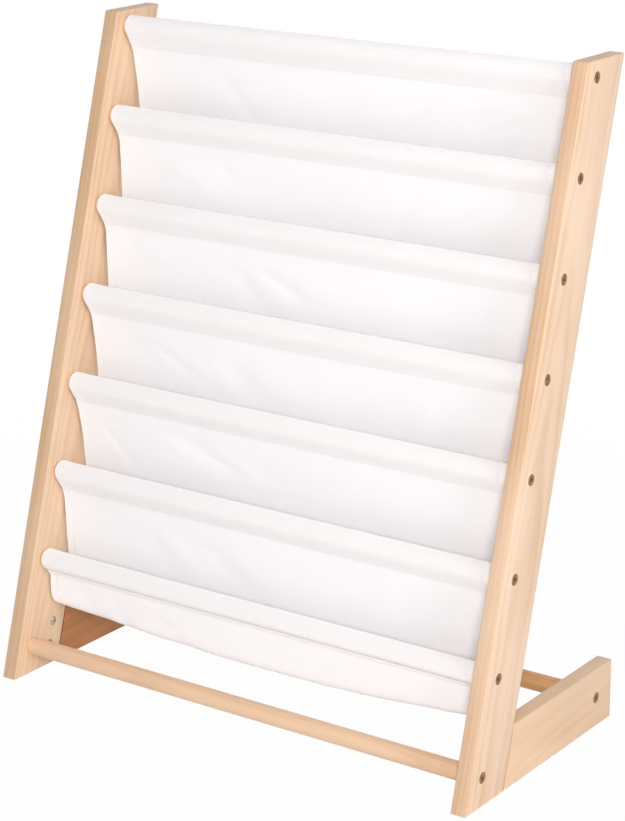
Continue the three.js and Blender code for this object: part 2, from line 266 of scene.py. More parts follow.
# Floor, light and camera
floor_reach = 30.0
floor_drop = 0.0003
floor_greys = ((0.82, 0.82, 0.82, 1), (0.84, 0.84, 0.84, 1))
white_reach = 1.6
white_stops = [(0.3, 0.97), (0.8, 1.0)]
plain_white = (1, 1, 1, 1)
bright_side = (0.20, -0.85, 0.45)
bright_light = (0.31, 0.31, 0.31, 1)
shade_light = (0.13, 0.107, 0.084, 1)
lamp_aim = Vector((0.0, 0.0, 0.35))
lamps = {
    "key": ((1.856, -2.751, 1.76), 1.2, 71.5),
    "side": ((3.402, -0.723, 1.28), 2.0, 40),
    "back": ((-1.206, 3.312, 1.00), 2.0, 42),
}
camera_place = (1.5016, -2.1348, 1.1534)
camera_azimuth = math.radians(35.152)
camera_elevation = math.radians(15.95)
camera_sensor = 36.0
camera_lens = 110.19
camera_shift = (0.0159, -0.0764)
camera_clip = (0.05, 100.0)

# Meshing
facets = 64
overrun = 0.002
merge_distance = 1e-7
same_direction = 0.9995
board_crease = math.radians(35)
metal_crease = math.radians(30)
cloth_crease = math.radians(60)


def centre_of(node):
    low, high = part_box(node)
    return (low + high) / 2


body = next(iter(frame["bodies"]))
sling_nodes = [f"sling_rod_{i}" for i in range(1, 8)]
rods = np.array([[centre_of(n).y, centre_of(n).z] for n in sling_nodes])
last_pocket = len(rods) - 2
half_width = cad_bounds[1].x
front = cad_bounds[0].y
back = cad_bounds[1].y
height = cad_bounds[1].z
inner_face = half_width - board_thickness
board_centre = half_width - board_thickness / 2
upright_width = upright_depth * math.cos(rake)
sides = {"left": -1, "right": 1}


# Node trees
class Nodes:
    """A node tree and short calls that add its nodes."""

    def __init__(self, owner):
        owner.use_nodes = True
        self.tree = owner.node_tree
        self.tree.nodes.clear()

    def add(self, kind, inputs=None, **settings):
        node = self.tree.nodes.new("ShaderNode" + kind)
        for key, value in settings.items():
            setattr(node, key, value)
        for key, value in (inputs or {}).items():
            self.put(node.inputs[key], value)
        return node

    def put(self, socket, value):
        if isinstance(value, bpy.types.NodeSocket):
            self.tree.links.new(value, socket)
        else:
            socket.default_value = value

    def math(self, operation, *values):
        return self.add("Math", dict(enumerate(values)), operation=operation).outputs[0]

    def plus(self, first, second):
        return self.math("ADD", first, second)

    def times(self, first, second):
        return self.math("MULTIPLY", first, second)

    def scaled(self, value, scale, base):
        return self.math("MULTIPLY_ADD", value, scale, base)

    def mix(self, factor, first, second):
        node = self.add("Mix", data_type="RGBA")
        for socket, value in zip((0, 6, 7), (factor, first, second)):
            self.put(node.inputs[socket], value)
        return node.outputs[2]

    def ramp(self, factor, *stops):
        node = self.add("ValToRGB", {"Fac": factor})
        ramp = node.color_ramp
        while len(ramp.elements) < len(stops):
            ramp.elements.new(0.5)
        for element, (place, value) in zip(ramp.elements, stops):
            element.position = place
            element.color = (value, value, value, 1)
        return node.outputs["Color"]

    def noise(self, vector, scale, detail=2.0, roughness=0.5):
        inputs = {"Vector": vector, "Scale": scale, "Detail": detail, "Roughness": roughness}
        return self.add("TexNoise", inputs).outputs["Fac"]

    def stretch(self, vector, scale, turn=(0, 0, 0), move=(0, 0, 0)):
        inputs = {"Vector": vector, "Scale": scale, "Rotation": turn, "Location": move}
        return self.add("Mapping", inputs).outputs["Vector"]

    def bump(self, height, distance, strength, normal=None):
        node = self.add("Bump", {"Height": height, "Distance": distance, "Strength": strength})
        if normal is not None:
            self.put(node.inputs["Normal"], normal)
        return node.outputs["Normal"]

    def seen(self):
        """1 where the camera looks, directly or by a glossy or transmitted ray, and 0 for light."""
        path = self.add("LightPath").outputs
        passed = self.math("MAXIMUM", path["Is Glossy Ray"], path["Is Transmission Ray"])
        return self.math("MAXIMUM", path["Is Camera Ray"], passed)


class Finish(Nodes):
    """The node tree of one material."""

    def __init__(self, name):
        self.material = bpy.data.materials.new(name)
        super().__init__(self.material)
        self.shader = self.add("BsdfPrincipled")
        self.output = self.add("OutputMaterial", {"Surface": self.shader.outputs["BSDF"]})

    def set(self, **values):
        for name, value in values.items():
            self.put(self.shader.inputs[name.replace("_", " ")], value)


def rgb(text):
    """A colour written as six hex digits, in linear light."""
    parts = [int(text[i:i + 2], 16) / 255 for i in (0, 2, 4)]
    return tuple(c / 12.92 if c <= 0.04045 else ((c + 0.055) / 1.055) ** 2.4 for c in parts) + (1.0,)


def pine(
    name, turn, pith, drift, colours, heart_shade=False,
    ring_width=0.0056, seed=0.0, edge_grain_and_shade=0.0, end_tone=0.1, figure=0.7,
):
    """Solid pine. turn brings the grain onto local Z; pith is where the core of the log ran,
    and drift how far the cut leans from it, which draws the long arches on a flat-sawn face.
    The heart switch ends the pale sapwood inside the board and paints its inner face heartwood brown:
    painted shade, standing for the shadow on that face."""
    wood = Finish(name)
    coordinates = wood.add("TexCoord").outputs
    grain = wood.stretch(coordinates["Object"], (1, 1, 1), turn, (0, 0, seed))
    parts = wood.add("SeparateXYZ", {0: grain}).outputs
    turned = {"Vector": coordinates["Normal"], "Rotation": turn}
    facing = wood.add("Mapping", turned, vector_type="VECTOR").outputs["Vector"]
    facing = wood.add("SeparateXYZ", {0: facing}).outputs
    end_grain = wood.math("POWER", wood.math("ABSOLUTE", facing[2]), 4.0)
    edge_grain = wood.math("ABSOLUTE", facing[1])

    def patches(scale, detail, roughness=0.5):
        """Noise at a scale per metre: across, through and along the grain."""
        return wood.noise(wood.stretch(grain, scale), 1.0, detail, roughness)

    warps = [wood.plus(patches(*look), -0.5) for look in warp_looks]
    squares = []
    for i in (0, 1):
        offset = wood.scaled(parts[2], drift[i], wood.plus(parts[i], -pith[i]))
        offset = wood.scaled(warps[i], ring_warps[i], offset)
        squares.append(wood.times(offset, offset))
    rings = wood.math("DIVIDE", wood.math("SQRT", wood.plus(*squares)), ring_width)
    ring_place = wood.add("CombineXYZ", {0: wood.times(rings, ring_spread[0])}).outputs[0]
    rings = wood.scaled(wood.noise(ring_place, 1.0, 1.0), ring_spread[1], rings)
    ring = wood.math("FRACT", rings)
    late = wood.ramp(ring, *late_wood)
    fibre = patches(*fibre_look)
    streak = patches(*streak_look)
    mottle = patches(*mottle_look)
    weight = wood.times(late, wood.times(mottle, figure))
    weight = wood.times(weight, wood.scaled(edge_grain, edge_rings, 1.0))
    weight = wood.plus(weight, wood.scaled(mottle, *mottle_tone))
    weight = wood.plus(weight, wood.times(wood.plus(streak, -0.5), streak_tone))
    weight = wood.plus(weight, wood.times(wood.plus(fibre, -0.5), fibre_tone))
    # Edge-grain faces, the uprights' front and back edges and the feet's tops and undersides, come out
    # darker: partly the grain's own tone, partly painted shade for the lesser light that reaches them
    weight = wood.scaled(edge_grain, edge_grain_and_shade, weight)
    weight = wood.scaled(end_grain, end_tone, weight)
    pale, deep = [rgb(colour) for colour in colours]
    # Painted shade: pale wood gives way to brown towards the inner face, for the shadow that falls there
    if heart_shade:
        place = wood.scaled(warps[1], heart_shade_wander, parts[0])
        pale_end, shade_start = [-(inner_face + depth) for depth in heart_shade_depths]
        limits = {"Value": place, "From Min": pale_end, "From Max": shade_start}
        share = wood.add("MapRange", limits).outputs[0]
        pale = wood.mix(share, pale, rgb(heart_shade_colours[0]))
        deep = wood.mix(share, deep, rgb(heart_shade_colours[1]))
    colour = wood.mix(wood.add("Clamp", {0: weight}).outputs[0], pale, deep)
    canals = wood.ramp(patches(*canal_look), *canal_stops)
    colour = wood.mix(wood.times(canals, canal_tone), colour, rgb(canal_colour))
    relief = wood.scaled(fibre, 0.6, wood.times(late, 0.4))
    wood.set(
        Base_Color=colour,
        Roughness=wood.scaled(fibre, 0.16, 0.42),
        Normal=wood.bump(relief, grain_relief, 0.5),
        Coat_Weight=0.12,
        Coat_Roughness=0.35,
    )
    return wood.material


def metal(name, light, dark, roughness, metallic=1.0):
    finish = Finish(name)
    place = finish.add("TexCoord").outputs["Object"]
    cloud = finish.noise(place, 900.0, 3.0, 0.6)
    worn = finish.ramp(finish.noise(place, 300.0, 2.0), (0.35, 0.0), (0.7, 1.0))
    finish.set(
        Base_Color=finish.mix(worn, rgb(dark), rgb(light)),
        Metallic=metallic,
        Roughness=finish.scaled(cloud, 0.25, roughness),
        Normal=finish.bump(cloud, metal_relief, 0.6),
    )
    return finish.material


def canvas_weave(name):
    """Plain-weave cotton: warp and weft cross over and under, with a few thicker yarns."""
    cloth = Finish(name)
    uv = cloth.add("UVMap").outputs["UV"]
    parts = cloth.add("SeparateXYZ", {0: uv}).outputs
    wander = cloth.times(cloth.noise(uv, 90.0, 2.0), yarn_wander)
    warp, weft = [
        cloth.math("SINE", cloth.times(cloth.plus(parts[i], wander), math.pi / yarn_width))
        for i in (0, 1)
    ]
    over = cloth.times(warp, weft)
    slub_warp, slub_weft = [cloth.noise(cloth.stretch(uv, scale), 1.0, 1.0) for scale in slub_scales]
    relief = cloth.scaled(over, 0.5, cloth.plus(slub_warp, slub_weft))
    place = cloth.add("TexCoord").outputs["Object"]
    crumple = cloth.noise(place, 42.0, 4.0, 0.55)
    mottle = cloth.noise(place, 7.0, 3.0)
    # gaps: where the yarns dip between crossings, darkened below as painted shade
    gaps = cloth.math("SUBTRACT", 1.0, cloth.math("ABSOLUTE", over))
    # sewn marks the cloth round the rods, which the loop below darkens as painted shade
    sewn = cloth.add("Attribute", attribute_name="sewn").outputs["Fac"]
    slubs = cloth.ramp(slub_weft, *slub_stops)
    tone = cloth.mix(mottle, *[rgb(colour) for colour in canvas_colours])
    # gaps and sewn bring painted shade; slubs are the yarn's own tone
    for spots, (share, colour) in ((gaps, weave_gap_painted_shade), (sewn, sleeve_painted_shade), (slubs, slub_shade)):
        tone = cloth.mix(cloth.times(spots, share), tone, rgb(colour))
    normal = cloth.bump(crumple, crumple_relief, 0.45)
    cloth.set(
        Base_Color=tone,
        Roughness=0.9,
        Diffuse_Roughness=1.0,
        Normal=cloth.bump(relief, weave_relief, 0.6, normal),
        Specular_IOR_Level=0.2,
    )
    return cloth.material


def thread(name):
    finish = Finish(name)
    place = finish.add("TexCoord").outputs["Object"]
    twist = finish.noise(place, 2600.0, 2.0)
    finish.set(
        Base_Color=finish.mix(twist, rgb("F4F1EC"), rgb("E4DFD8")),
        Roughness=0.75,
        Normal=finish.bump(twist, thread_relief, 0.6),
    )
    return finish.material


# Meshes
def linked(name, data):
    """A new object in the scene."""
    made = bpy.data.objects.new(name, data)
    bpy.context.scene.collection.objects.link(made)
    return made


def new_piece(name, mesh, slot, material, *nodes):
    """A piece of the visual model, in the place of the CAD nodes that it replaces."""
    piece = linked(name, mesh)
    mesh.materials.append(material)
    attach(piece, body)
    if nodes:
        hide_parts(*nodes)
    return piece


def mesh_of(name, points, faces):
    mesh = bpy.data.meshes.new(name)
    mesh.from_pydata([tuple(p) for p in points], [], [tuple(f) for f in faces])
    mesh.validate()
    return mesh


def tidy(mesh):
    """Makes the faces point outwards and merges points that lie together."""
    edit = bmesh.new()
    edit.from_mesh(mesh)
    bmesh.ops.remove_doubles(edit, verts=edit.verts, dist=merge_distance)
    bmesh.ops.recalc_face_normals(edit, faces=edit.faces)
    edit.to_mesh(mesh)
    edit.free()
    return mesh


def lathe(name, profile, segments=facets, direction=1):
    """Turns a profile of (along, radius) round the X axis into a closed mesh."""
    points, faces, rings = [], [], []
    for along, radius in profile:
        count = 1 if radius == 0 else segments
        rings.append((len(points), count))
        for i in range(count):
            angle = 2 * math.pi * i / segments
            points.append((direction * along, radius * math.cos(angle), radius * math.sin(angle)))
    for (a, a_count), (b, b_count) in zip(rings, rings[1:]):
        for i in range(segments):
            j = (i + 1) % segments
            if a_count == 1:
                faces.append((a, b + i, b + j))
            elif b_count == 1:
                faces.append((a + j, a + i, b))
            else:
                faces.append((a + i, a + j, b + j, b + i))
    return tidy(mesh_of(name, points, faces))


def placed(mesh, x, y, z, turn_x=0.0):
    mesh.transform(Matrix.Translation((x, y, z)) @ Matrix.Rotation(turn_x, 4, "X"))
    return mesh


def box_mesh(name, low, high):
    corners = [(x, y, z) for x in (low[0], high[0]) for y in (low[1], high[1]) for z in (low[2], high[2])]
    faces = [(0, 1, 3, 2), (4, 6, 7, 5), (0, 4, 5, 1), (2, 3, 7, 6), (0, 2, 6, 4), (1, 5, 7, 3)]
    return tidy(mesh_of(name, corners, faces))


def cut(mesh, cutters):
    """Cuts the cutters out of the mesh, exactly."""
    target = linked("cut_target", mesh)
    tools = bpy.data.collections.new("cutters")
    for cutter in cutters:
        tools.objects.link(bpy.data.objects.new("cutter", cutter))
    modifier = target.modifiers.new("cut", "BOOLEAN")
    modifier.operation = "DIFFERENCE"
    modifier.operand_type = "COLLECTION"
    modifier.solver = "EXACT"
    modifier.collection = tools
    evaluated = target.evaluated_get(bpy.context.evaluated_depsgraph_get())
    result = bpy.data.meshes.new_from_object(evaluated)
    for tool in list(tools.objects):
        bpy.data.objects.remove(tool)
    bpy.data.collections.remove(tools)
    bpy.data.objects.remove(target)
    return result


def shade_board(mesh, outline):
    """Smooth shading, with the large flat faces kept flat."""
    directions = [Vector((1, 0, 0))]
    for (y0, z0), (y1, z1) in zip(outline, outline[1:] + outline[:1]):
        directions.append(Vector((0, z1 - z0, y0 - y1)).normalized())
    for polygon in mesh.polygons:
        polygon.use_smooth = all(abs(polygon.normal.dot(d)) < same_direction for d in directions)
    mesh.set_sharp_from_angle(angle=board_crease)


def shade_rounded(mesh, crease):
    mesh.shade_smooth()
    mesh.set_sharp_from_angle(angle=crease)


def board_mesh(name, outline, x):
    """A board from its side outline, its edges eased to a small round."""
    half = board_thickness / 2
    edit = bmesh.new()
    face = edit.faces.new([edit.verts.new((x - half, y, z)) for y, z in outline])
    grown = bmesh.ops.extrude_face_region(edit, geom=[face])
    moved = [v for v in grown["geom"] if isinstance(v, bmesh.types.BMVert)]
    bmesh.ops.translate(edit, verts=moved, vec=(board_thickness, 0, 0))
    bmesh.ops.recalc_face_normals(edit, faces=edit.faces)
    bmesh.ops.bevel(
        edit, geom=edit.edges[:], offset=eased_edge, segments=eased_segments, profile=0.5, affect="EDGES"
    )
    mesh = bpy.data.meshes.new(name)
    edit.to_mesh(mesh)
    edit.free()
    return mesh


def raise_end(mesh, direction):
    """Brings an end face forward by the joint's gap, all but a rim, which shows as a dark line."""
    edit = bmesh.new()
    edit.from_mesh(mesh)
    facing = [face for face in edit.faces if face.normal.dot(direction) > same_direction]
    end = max(facing, key=lambda face: face.calc_area())
    bmesh.ops.inset_individual(edit, faces=[end], thickness=joint_rim)
    bmesh.ops.inset_individual(edit, faces=[end], thickness=joint_step, depth=joint_gap - fit_gap)
    edit.to_mesh(mesh)
    edit.free()
    return mesh


def screw_profile(grow, run_out):
    head = screw_head_radius + grow
    shank = screw_radius + grow
    cone_end = screw_head_rim + screw_head_cone
    return [
        (-run_out, 0),
        (-run_out, head),
        (screw_head_rim, head),
        (cone_end, shank),
        (screw_length - screw_tip, shank),
        (screw_length + grow, screw_tip_radius + grow),
        (screw_length + grow, 0),
    ]


def screw_bore(side, place):
    bore = lathe("bore", screw_profile(fit_gap, overrun), direction=-side)
    return placed(bore, side * (half_width - screw_sink), *place)


joint_along = (joint_rise + upright_width * math.sin(rake)) / math.cos(rake)
joint_place = (
    front + joint_along * math.sin(rake) + upright_width * math.cos(rake),
    joint_along * math.cos(rake) - upright_width * math.sin(rake),
)
cam_rises = {"upper": cam_spacing / 2, "lower": -cam_spacing / 2}


def in_joint(mesh, x, y, rise):
    """Places a mesh drawn at the origin in the foot joint: y runs into the foot."""
    mesh.transform(Matrix.Translation((0, y, rise)))
    return placed(mesh, x, *joint_place, -rake)


def plug_profile(start, end, radius):
    return [(start, 0), (start, radius), (end, radius), (end, 0)]


def bar_along_y(name, radius, start, end):
    mesh = lathe(name, plug_profile(start, end, radius))
    mesh.transform(Matrix.Rotation(math.radians(90), 4, "Z"))
    return mesh


def joint_bores(x):
    reach = wood_pin_reach + fit_gap
    bores = [in_joint(bar_along_y("bore", wood_pin_radius + fit_gap, -reach, reach), x, 0, 0)]
    for rise in cam_rises.values():
        bore = bar_along_y("bore", cam_dowel_radius + fit_gap, -cam_inset, cam_dowel_reach + fit_gap)
        bores.append(in_joint(bore, x, 0, rise))
    return bores


def cam_bores(side):
    bores = []
    for rise in cam_rises.values():
        start = board_thickness / 2 - cam_length - fit_gap
        end = board_thickness / 2 + overrun
        bore = lathe("bore", plug_profile(start, end, cam_radius + fit_gap), direction=-side)
        bores.append(in_joint(bore, side * board_centre, -cam_inset, rise))
    return bores


def make_boards():
    """Two raked uprights and the foot behind each."""
    lean = height * math.tan(rake)
    upright_outline = [
        (front, 0),
        (front + upright_depth, 0),
        (front + upright_depth + lean, height),
        (front + lean, height),
    ]
    foot_front = front + upright_depth + joint_gap / math.cos(rake)
    foot_outline = [
        (foot_front, 0),
        (back, 0),
        (back, foot_height),
        (foot_front + foot_height * math.tan(rake), foot_height),
    ]
    joint_direction = Vector((0, -math.cos(rake), math.sin(rake)))
    screw_places = [tuple(r) for r in rods] + [(centre_of("front_rod").y, centre_of("front_rod").z)]
    rear_place = (centre_of("rear_rod").y, centre_of("rear_rod").z)
    for name, side in sides.items():
        x = side * board_centre
        upright_finish = pine(
            f"pine_upright_{name}",
            (rake, 0, 0),
            (side * upright_pith_x, front * math.cos(rake) + upright_width * upright_pith_share),
            (0.020 * side, 0.012),
            upright_lit_and_shaded_colours[name],
            seed=0.31 * side,
            # front and back edges darker: partly painted shade
            edge_grain_and_shade=0.36,
        )
        foot_finish = pine(
            f"pine_foot_{name}",
            (math.radians(90), 0, 0),
            (side * foot_pith_x, -foot_height * foot_pith_share),
            (0.030 * side, 0.05),
            foot_colours,
            # the left foot's inner face gets painted shade, drawn as heartwood
            heart_shade=name == "left",
            ring_width=0.0085,
            seed=0.77 * side,
            # tops and undersides darker: partly painted shade
            edge_grain_and_shade=0.26,
            end_tone=0.9,
            figure=0.35,
        )
        bores = [screw_bore(side, place) for place in screw_places] + joint_bores(x) + cam_bores(side)
        mesh = cut(board_mesh(f"upright_{name}_board", upright_outline, x), bores)
        shade_board(mesh, upright_outline)
        new_piece(f"upright_{name}_board", mesh, "pine_board", upright_finish, f"upright_{name}")

        mesh = raise_end(board_mesh(f"foot_{name}_board", foot_outline, x), joint_direction)
        mesh = cut(mesh, [screw_bore(side, rear_place)] + joint_bores(x))
        shade_board(mesh, foot_outline)
        new_piece(f"foot_{name}_board", mesh, "pine_board", foot_finish, f"foot_{name}")


def make_rods():
    """Turned pine rods with eased ends and a pilot hole in each end."""
    turn = (0, math.radians(-90), 0)
    finish = pine(
        "pine_rod", turn, (0.03, 0.14), (0.035, 0.02), rod_colours, ring_width=0.0048, seed=0.4, figure=0.6
    )
    # the rear rod's finish: the rod pine with painted shade
    shaded_rear_finish = pine(
        "pine_rear_rod_painted_shade", turn, (0.01, 0.11), (0.02, 0.03), rear_rod_shaded_colours, ring_width=0.0048, seed=0.9
    )
    half = inner_face - fit_gap
    hole = screw_radius + fit_gap
    hole_end = inner_face - (screw_sink + screw_length - board_thickness) - fit_gap
    profile = [
        (-hole_end, 0),
        (-hole_end, hole),
        (-half, hole),
        (-half, rod_radius - rod_end_chamfer),
        (rod_end_chamfer - half, rod_radius),
    ]
    profile += [(-along, radius) for along, radius in reversed(profile)]
    for node in sling_nodes + ["front_rod", "rear_rod"]:
        mesh = lathe(f"{node}_turned", profile)
        shade_rounded(mesh, board_crease)
        centre = centre_of(node)
        placed(mesh, 0, centre.y, centre.z)
        material = shaded_rear_finish if node == "rear_rod" else finish
        new_piece(f"{node}_turned", mesh, "pine_rod", material, node)


def make_screws():
    """Flush connector screws with a hexagon socket."""
    finish = metal("dark_screw_steel", "B8936F", "876549", 0.45)
    head = screw_head_radius
    profile = [
        (screw_head_dish, 0),
        (screw_head_dish / 2, head * screw_dish_share),
        (0, head - screw_head_edge),
        (screw_head_edge * 0.5, head - screw_head_edge * 0.25),
        (screw_head_edge, head),
    ] + screw_profile(0, 0)[2:]
    socket_profile = plug_profile(-overrun, socket_depth, socket_radius)
    for name, side in sides.items():
        for suffix in (*range(1, 8), "front", "rear"):
            node = f"screw_{name}_{suffix}"
            centre = centre_of(node)
            socket = lathe("socket", socket_profile, 6, direction=-side)
            mesh = cut(lathe(f"{node}_body", profile, direction=-side), [socket])
            placed(mesh, side * (half_width - screw_sink), centre.y, centre.z)
            shade_rounded(mesh, metal_crease)
            new_piece(f"{node}_body", mesh, "screw_steel", finish, node)


def make_cams():
    """Cam locks: a disc with a cross for the driver, flush in the upright's inner face."""
    finish = metal("zinc_plate", "E2D8CA", "A3968A", 0.34, metallic=0.75)
    inner = board_thickness / 2
    end = inner + overrun
    profile = [
        (inner - cam_length, 0),
        (inner - cam_length, cam_radius),
        *[(inner - cam_edge * depth, cam_radius * share) for depth, share in cam_dome],
        (inner, 0),
    ]
    wide, long = cam_cross_width / 2, cam_cross_length / 2
    for name, side in sides.items():
        for level, rise in cam_rises.items():
            disc = lathe("cam", profile, direction=-side)
            low, high = sorted((-side * (inner - cam_cross_depth), -side * end))
            halves = ((wide, long), (long, wide))
            bars = [box_mesh("cross", (low, -y, -z), (high, y, z)) for y, z in halves]
            channel = bar_along_y("channel", cam_channel_radius, -cam_channel_start, cam_radius + overrun)
            low, high = sorted((-side * (inner - cam_mouth_depth), -side * end))
            tall = cam_radius * cam_mouth_share
            near, far = [cam_radius * share for share in cam_mouth_places]
            mouth = box_mesh("mouth", (low, near, -tall), (high, far, tall))
            mesh = cut(disc, [*bars, channel, mouth])
            in_joint(mesh, side * board_centre, -cam_inset, rise)
            shade_rounded(mesh, metal_crease)
            new_piece(f"cam_{name}_{level}_disc", mesh, "zinc", finish, f"cam_{name}_{level}")
            repaint(f"cam_dowel_{name}_{level}", finish)


def repaint(node, material):
    """Gives a CAD node that stays in the model its material."""
    materials = frame["nodes"][node].data.materials
    materials.clear()
    materials.append(material)


def make_pins():
    turn = (math.radians(90), 0, 0)
    finish = pine("beech_pin", turn, (0.05, 0.02), (0.01, 0.01), pin_colours, ring_width=0.0012)
    for name in sides:
        repaint(f"wood_pin_{name}", finish)


# Sling
def smooth_step(value, low, high):
    share = np.clip((value - low) / (high - low), 0, 1)
    return share * share * (3 - 2 * share)


def soft_ramp(value, width):
    """Zero below 0, straight above, with a soft knee."""
    return width * np.log1p(np.exp(np.clip(value / width, -40, 40)))


def columns_across():
    """Places across the cloth: fine at the folded edges, even between."""
    near = np.array(edge_columns)
    inner = cloth_half_width - near[-1]
    middle = np.linspace(-inner, inner, 2 * round(inner / column_pitch) + 1)[1:-1]
    return np.concatenate([near - cloth_half_width, middle, cloth_half_width - near[::-1]])


across = columns_across()
edge_distance = cloth_half_width - np.abs(across)
hemmed = 1 - smooth_step(edge_distance, side_hem - side_hem_fade[0], side_hem + side_hem_fade[1])
edge_round = np.interp(edge_distance, edge_columns[:4], edge_round_shares)


def floor_sag(pocket):
    """How far a pocket's floor hangs below its height at the left edge, across the width."""
    shift = floor_shifts[pocket]
    left = left_floor_slope * soft_ramp(-(across + left_floor_start + shift), left_floor_knee)
    right = right_floor_slope * soft_ramp(across - right_floor_start + shift, right_floor_knee)
    return middle_sag - (left + right) - (last_pocket_lift if pocket == last_pocket else 0)


def lean_of(rod):
    """How far the panel below a rod drifts backwards, across the width."""
    share = smooth_step(across, -cloth_half_width, cloth_half_width)
    return left_leans[rod] + (right_leans[rod] - left_leans[rod]) * share


first_fall = (rods[0, 1] - rods[1, 1]) + pocket_drop - pocket_floor_depth / 2
panel_fall = first_fall - seam_drops[1] - panel_start_drop


def drift(depth):
    """How much of its lean and of its waist a panel has at a depth below its start."""
    return np.sin(np.pi / 2 * np.clip(depth / panel_fall, 0, 1)) ** drift_power


def panel_setback(rod, depth):
    """Middle line of the panel that hangs below a rod: how far behind the rod it is, at a depth
    below the start of the free panel."""
    share = 1.0 if rod <= last_pocket else last_lean_share
    return panel_start + lean_of(min(rod, last_pocket)) * drift(depth) * share


class Line:
    """Control points of the canvas's middle line, each an array over the columns. steps is how
    many rows lead to the next point, play how much it wrinkles, rod which rod it is near."""

    def __init__(self):
        self.points = []
        self.steps = []
        self.play = []
        self.rod = []
        self.seams = {}

    def add(self, y, z, steps, play, rod, seam=None):
        wide = np.ones_like(across)
        self.points.append(np.stack([y * wide, z * wide], axis=1))
        self.steps.append(steps)
        self.play.append(play)
        self.rod.append(rod)
        if seam:
            self.seams[seam] = len(self.points) - 1

    def by_rod(self, rod, y, z, steps, seam=None):
        """Adds a point y and z from the centre of a rod, where nothing wrinkles."""
        self.add(rods[rod, 0] + y, rods[rod, 1] + z, steps, 0, rod, seam)

    def starts(self):
        """The row of each control point."""
        return np.concatenate([[0], np.cumsum(self.steps[:-1])])

    def row(self, seam):
        return self.starts()[self.seams[seam]]

    def on_rows(self, values):
        """Values given at the control points, carried straight to every row."""
        places = self.starts()
        return np.interp(np.arange(places[-1] + 1), places, values)


def tangent_angle(y, z, radius, turn):
    return np.arctan2(z, y) + turn * np.arccos(radius / np.hypot(y, z))


def sling_line():
    line = Line()
    hem_room = hemmed * cloth_thickness
    radius = sleeve_radius + sleeve_hem_share * hem_room
    back_y = seam_shift + seam_layers / 2 + hem_room
    front_y = seam_shift - seam_layers / 2 - hem_room
    tab_y = tab_layers * cloth_thickness + panel_start - seam_shift
    bend_y, bend_z = tab_bend_shares
    line.by_rod(0, back_y + tab_y, -seam_drops[0] - tab_length, 4)
    line.by_rod(0, back_y + tab_y * bend_y, -seam_drops[0] - tab_length * bend_z, 4)
    for i, drop in enumerate(seam_drops):
        line.by_rod(i, back_y, -drop, 3, f"back_{i}")
        back_angle = tangent_angle(back_y, -drop, radius, 1)
        front_angle = tangent_angle(front_y, -drop, radius, -1) + 2 * np.pi
        y, z = radius * np.cos(back_angle), radius * np.sin(back_angle)
        line.by_rod(i, (back_y + y) / 2, (z - drop) / 2, 3)
        spans = 12
        for step in range(spans + 1):
            angle = back_angle + (front_angle - back_angle) * step / spans
            y, z = radius * np.cos(angle), radius * np.sin(angle)
            line.by_rod(i, y, z, 3 if step == spans else 2)
        line.by_rod(i, (front_y + y) / 2, (z - drop) / 2, 3)
        if i > last_pocket:
            line.by_rod(i, front_y, -drop, 3, f"front_{i}")
            line.by_rod(i, front_y - last_flap_tuck, -drop - last_flap, 0)
        else:
            line.by_rod(i, front_y, -drop, 4, f"front_{i}")
            add_pocket(line, i, hem_room)
    return line


def add_pocket(line, pocket, hem_room):
    """One pocket: back panel down, round the floor, front panel up to the lip rod."""
    upper_y, upper_z = rods[pocket]
    lip_y, lip_z = rods[pocket + 1]
    top = upper_z - seam_drops[pocket] - panel_start_drop
    floor_z = lip_z - pocket_drop + pocket_floor_depth / 2 - floor_sag(pocket) + pocket_floor_lift
    fall = top - floor_z
    spans = 9
    for step in range(spans + 1):
        depth = fall * step / spans
        play = min(1.0, step / 2)
        y = upper_y + panel_setback(pocket, depth) - hem_room * back_hem_share
        line.add(y, top - depth, 5, play, pocket)
    back_y = line.points[-1][:, 0]

    lip_top = lip_z - seam_drops[pocket + 1] - panel_start_drop
    front_fall = lip_top - floor_z
    gap = layer_pitch if pocket < last_pocket else 0.0

    def front_at(share):
        setback = panel_setback(pocket + 1, front_fall * share)
        return lip_y + setback + gap + hem_room * front_hem_share

    front_y = front_at(1.0)
    reach = (back_y - front_y) / 2
    bends = 8
    for step in range(1, bends):
        angle = np.pi * step / bends
        line.add(
            front_y + reach * (1 + np.cos(angle)),
            floor_z - reach * np.sin(angle) * pocket_floor_stretch, 3, 1.0, pocket + step / bends)
    rises = 4
    for step in range(rises + 1):
        share = 1 - step / rises
        play = min(1.0, share * 3)
        line.add(front_at(share), floor_z + front_fall * (1 - share), 5, play, pocket + 1)


def spline(points, steps):
    """A smooth curve through the control points, spaced by chord length."""
    points = np.array(points)
    spans = np.diff(points, axis=0)
    gaps = np.linalg.norm(spans, axis=2, keepdims=True)
    slopes = spans / gaps
    middle = (slopes[:-1] * gaps[1:] + slopes[1:] * gaps[:-1]) / (gaps[:-1] + gaps[1:])
    tangents = np.concatenate([slopes[:1], middle, slopes[-1:]])
    rows = []
    for i, count in enumerate(steps[:-1]):
        t = (np.arange(count) / count)[:, None, None]
        start, end = points[i], points[i + 1]
        first, second = tangents[i] * gaps[i], tangents[i + 1] * gaps[i]
        rows.append(
            (2 * t**3 - 3 * t**2 + 1) * start + (t**3 - 2 * t**2 + t) * first
            + (3 * t**2 - 2 * t**3) * end + (t**3 - t**2) * second
        )
    rows.append(points[-1:])
    return np.concatenate(rows)


